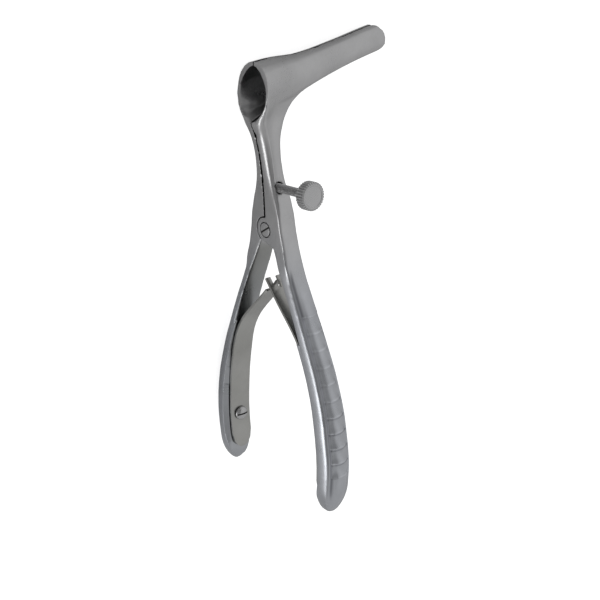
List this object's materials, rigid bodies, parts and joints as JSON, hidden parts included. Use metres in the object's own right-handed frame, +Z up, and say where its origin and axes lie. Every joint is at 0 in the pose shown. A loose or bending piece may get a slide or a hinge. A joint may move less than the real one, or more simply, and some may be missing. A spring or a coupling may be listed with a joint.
{
  "type": "nasal speculum",
  "caption": "Long-bladed spring-handled nasal speculum with a half-round funnel, a thumb set screw and hooked leaf springs, lying on its side.",
  "frame": {"origin": "centre of the bounding box's base, on the surface that the instrument lies on", "axes": "+X along the blades toward their tips, +Y along the instrument from the handle ends to the funnel, +Z up, from the left arm to the right arm"},
  "size_m": [0.048, 0.1366, 0.0583],
  "materials": {
    "arm_steel": "satin",
    "leaf_steel": "satin",
    "screw_steel": "satin"
  },
  "bodies": {
    "left_side": {"left_arm": "arm_steel", "left_spring": "leaf_steel", "left_spring_screw": "screw_steel", "pivot_screw": "screw_steel"},
    "right_side": {"right_arm": "arm_steel", "right_spring": "leaf_steel", "right_spring_screw": "screw_steel"},
    "set_screw": {"set_screw": "screw_steel"}
  },
  "joints": [
    {"name": "arm_pivot", "type": "hinge", "parent": "left_side", "child": "right_side", "pos_m": [-0.01784, 0.01622, 0.01521], "axis": [0.9996, -0.0062, -0.028], "range_deg": [0, 20], "stiffness_Nm_per_rad": 1.5, "springref_deg": -4.01, "deforming": ["left_spring", "right_spring"]},
    {"name": "set_screw_feed", "type": "slide", "parent": "right_side", "child": "set_screw", "axis": [0.0287, 0.2162, 0.9759], "range_m": [-0.0005, 0.002]}
  ]
}
